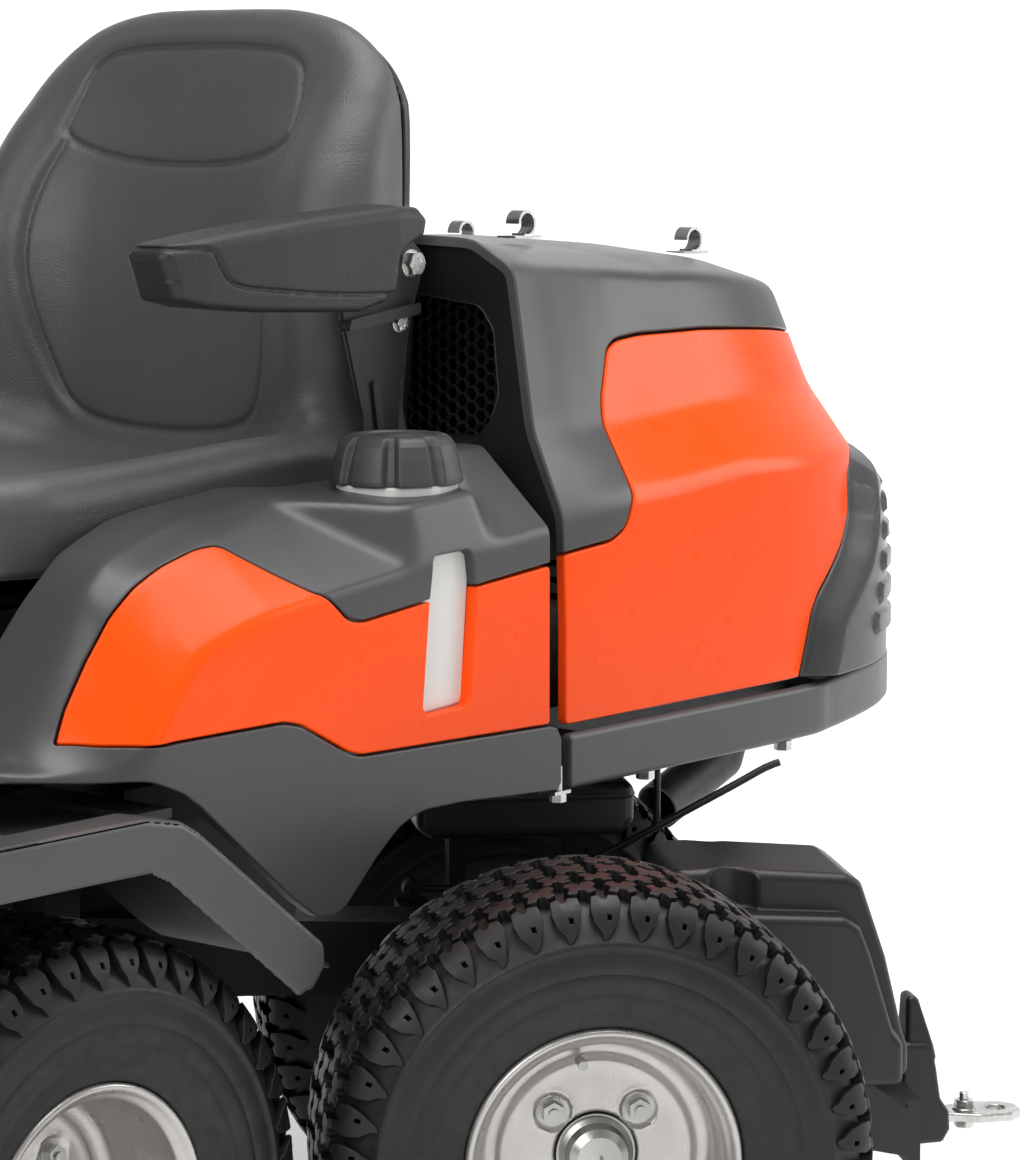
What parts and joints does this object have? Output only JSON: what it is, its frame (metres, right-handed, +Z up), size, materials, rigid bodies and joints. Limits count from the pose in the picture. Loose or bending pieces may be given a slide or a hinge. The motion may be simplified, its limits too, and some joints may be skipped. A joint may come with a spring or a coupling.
{
  "type": "riding lawn mower",
  "caption": "Articulated front-deck ride-on mower: high-back seat, steering wheel, tilting rear engine hood, side fuel filler, steered rear carriage with tow hitch.",
  "frame": {"origin": "bottom centre of the bounding box, on the ground", "axes": "+Z up, +X towards the rear of the machine (it drives towards -X), +Y towards its right side"},
  "size_m": [2.24, 1.2678, 1.177],
  "materials": {
    "frame_black": "satin",
    "steel_zinc": "satin",
    "tyre_rubber": "matte",
    "rim_silver": "satin",
    "hub_zinc": "satin",
    "cast_housing": "matte",
    "plastic_black": "satin",
    "plastic_grey": "satin",
    "plastic_light_grey": "satin",
    "bumper_grey": "satin",
    "panel_orange": "satin",
    "tank_white": "satin",
    "grip_black": "matte",
    "lever_black": "satin",
    "vinyl_grey": "matte",
    "armrest_black": "satin",
    "seat_shell_black": "matte",
    "engine_alloy": "matte",
    "exhaust_steel": "matte",
    "deck_steel": "satin",
    "blade_steel": "satin",
    "wheel_black": "satin"
  },
  "bodies": {
    "chassis": {"main_frame": "frame_black", "pivot_pin": "steel_zinc", "front_axle": "cast_housing", "fuel_tank": "tank_white", "side_cover_left": "plastic_grey", "side_cover_right": "plastic_grey", "side_panels": "panel_orange", "front_fenders": "plastic_light_grey", "footplate": "plastic_black", "steering_console": "plastic_black", "seat_base": "frame_black", "engine_block": "engine_alloy", "muffler": "exhaust_steel", "exhaust_pipe": "exhaust_steel", "bumper_band": "bumper_grey", "chassis_bolts": "steel_zinc"},
    "carriage": {"carriage_frame": "frame_black", "rear_axle": "cast_housing", "carriage_cover": "plastic_black", "hitch_guard": "plastic_black", "hitch_plate": "steel_zinc", "oil_tank": "plastic_black", "guard_rod": "frame_black"},
    "wheel_front_left": {"tyre_front_left": "tyre_rubber", "rim_front_left": "rim_silver", "hub_front_left": "hub_zinc"},
    "wheel_front_right": {"tyre_front_right": "tyre_rubber", "rim_front_right": "rim_silver", "hub_front_right": "hub_zinc"},
    "wheel_rear_left": {"tyre_rear_left": "tyre_rubber", "rim_rear_left": "rim_silver", "hub_rear_left": "hub_zinc"},
    "wheel_rear_right": {"tyre_rear_right": "tyre_rubber", "rim_rear_right": "rim_silver", "hub_rear_right": "hub_zinc"},
    "hood": {"hood_shell": "plastic_grey", "hood_panels": "panel_orange", "hood_vent": "plastic_black", "hood_grille": "plastic_black", "cargo_hooks": "steel_zinc"},
    "seat_tilt_frame": {"seat_frame": "frame_black"},
    "seat": {"seat_shell": "seat_shell_black", "seat_cushion": "vinyl_grey", "seat_backrest": "vinyl_grey", "armrest_brackets": "frame_black"},
    "armrest_left": {"armrest_left": "armrest_black"},
    "armrest_right": {"armrest_right": "armrest_black"},
    "fuel_cap": {"fuel_cap": "plastic_black"},
    "steering_wheel": {"steering_wheel": "grip_black"},
    "drive_pedal": {"drive_pedal": "grip_black"},
    "brake_pedal": {"brake_pedal": "grip_black"},
    "lift_lever": {"lift_lever": "lever_black"},
    "throttle_lever": {"throttle_lever": "lever_black"},
    "deck": {"deck_shell": "deck_steel", "deck_cover": "plastic_black", "lift_frame": "frame_black"},
    "blade_left": {"blade_left": "blade_steel"},
    "blade_right": {"blade_right": "blade_steel"},
    "deck_wheel_left": {"deck_wheel_left": "wheel_black"},
    "deck_wheel_right": {"deck_wheel_right": "wheel_black"}
  },
  "joints": [
    {"name": "steering_articulation", "type": "hinge", "parent": "chassis", "child": "carriage", "pos_m": [0.0917, 0.10894, 0.36], "axis": [0, 0, 1], "range_deg": [0, 83.4]},
    {"name": "steering_wheel_turn", "type": "hinge", "parent": "chassis", "child": "steering_wheel", "pos_m": [-0.443, 0.10894, 0.868], "axis": [0.5, 0, 0.866], "range_deg": [-834, 0]},
    {"name": "front_left_wheel_spin", "type": "hinge", "parent": "chassis", "child": "wheel_front_left", "pos_m": [-0.188, -0.21127, 0.2315], "axis": [0, 1, 0], "continuous": true},
    {"name": "front_right_wheel_spin", "type": "hinge", "parent": "chassis", "child": "wheel_front_right", "pos_m": [-0.188, 0.42913, 0.2315], "axis": [0, 1, 0], "continuous": true},
    {"name": "rear_left_wheel_spin", "type": "hinge", "parent": "carriage", "child": "wheel_rear_left", "pos_m": [0.25618, -0.4232, 0.2315], "axis": [0.6652, 0.7466, 0], "continuous": true},
    {"name": "rear_right_wheel_spin", "type": "hinge", "parent": "carriage", "child": "wheel_rear_right", "pos_m": [0.63922, 0.00671, 0.2315], "axis": [0.6652, 0.7466, 0], "continuous": true},
    {"name": "hood_tilt", "type": "hinge", "parent": "chassis", "child": "hood", "pos_m": [1.074, 0.10894, 0.558], "axis": [0, 1, 0], "range_deg": [0, 60]},
    {"name": "seat_tilt", "type": "hinge", "parent": "chassis", "child": "seat_tilt_frame", "pos_m": [-0.128, 0.10894, 0.69], "axis": [0, -1, 0], "range_deg": [0, 55]},
    {"name": "seat_slide", "type": "slide", "parent": "seat_tilt_frame", "child": "seat", "axis": [1, 0, 0], "range_m": [-0.06, 0]},
    {"name": "armrest_left_tilt", "type": "hinge", "parent": "seat", "child": "armrest_left", "pos_m": [0.272, -0.18707, 0.955], "axis": [0, 1, 0], "range_deg": [0, 95]},
    {"name": "armrest_right_tilt", "type": "hinge", "parent": "seat", "child": "armrest_right", "pos_m": [0.272, 0.40493, 0.955], "axis": [0, 1, 0], "range_deg": [0, 95]},
    {"name": "fuel_cap_turn", "type": "hinge", "parent": "chassis", "child": "fuel_cap", "pos_m": [0.259, -0.21107, 0.78], "axis": [0, 0, 1], "range_deg": [0, 120]},
    {"name": "drive_pedal_rock", "type": "hinge", "parent": "chassis", "child": "drive_pedal", "pos_m": [-0.508, 0.31894, 0.344], "axis": [0, -1, 0], "range_deg": [-10, 15], "stiffness_Nm_per_rad": 12},
    {"name": "brake_pedal_press", "type": "hinge", "parent": "chassis", "child": "brake_pedal", "pos_m": [-0.508, -0.10107, 0.344], "axis": [0, -1, 0], "range_deg": [0, 15], "stiffness_Nm_per_rad": 12, "springref_deg": -17.19},
    {"name": "deck_lift", "type": "hinge", "parent": "chassis", "child": "deck", "pos_m": [-0.338, 0.10894, 0.215], "axis": [0, 1, 0], "range_deg": [0, 11]},
    {"name": "lift_lever_swing", "type": "hinge", "parent": "chassis", "child": "lift_lever", "pos_m": [-0.388, 0.22593, 0.5], "axis": [0, 1, 0], "range_deg": [-44, 0]},
    {"name": "throttle_lever_swing", "type": "hinge", "parent": "chassis", "child": "throttle_lever", "pos_m": [-0.49, 0.00394, 0.64], "axis": [0, 1, 0], "range_deg": [-25, 25]},
    {"name": "blade_left_spin", "type": "hinge", "parent": "deck", "child": "blade_left", "pos_m": [-0.719, -0.14607, 0.08], "axis": [0, 0, 1], "continuous": true},
    {"name": "blade_right_spin", "type": "hinge", "parent": "deck", "child": "blade_right", "pos_m": [-0.719, 0.36394, 0.08], "axis": [0, 0, 1], "continuous": true},
    {"name": "deck_wheel_left_spin", "type": "hinge", "parent": "deck", "child": "deck_wheel_left", "pos_m": [-1.06, -0.27207, 0.06], "axis": [0, 1, 0], "continuous": true},
    {"name": "deck_wheel_right_spin", "type": "hinge", "parent": "deck", "child": "deck_wheel_right", "pos_m": [-1.06, 0.48994, 0.06], "axis": [0, 1, 0], "continuous": true}
  ],
  "couplings": [
    {"joint": "steering_wheel_turn", "follows": "steering_articulation", "ratio": -10},
    {"joint": "lift_lever_swing", "follows": "deck_lift", "ratio": -4},
    {"joint": "blade_right_spin", "follows": "blade_left_spin", "ratio": 1}
  ]
}
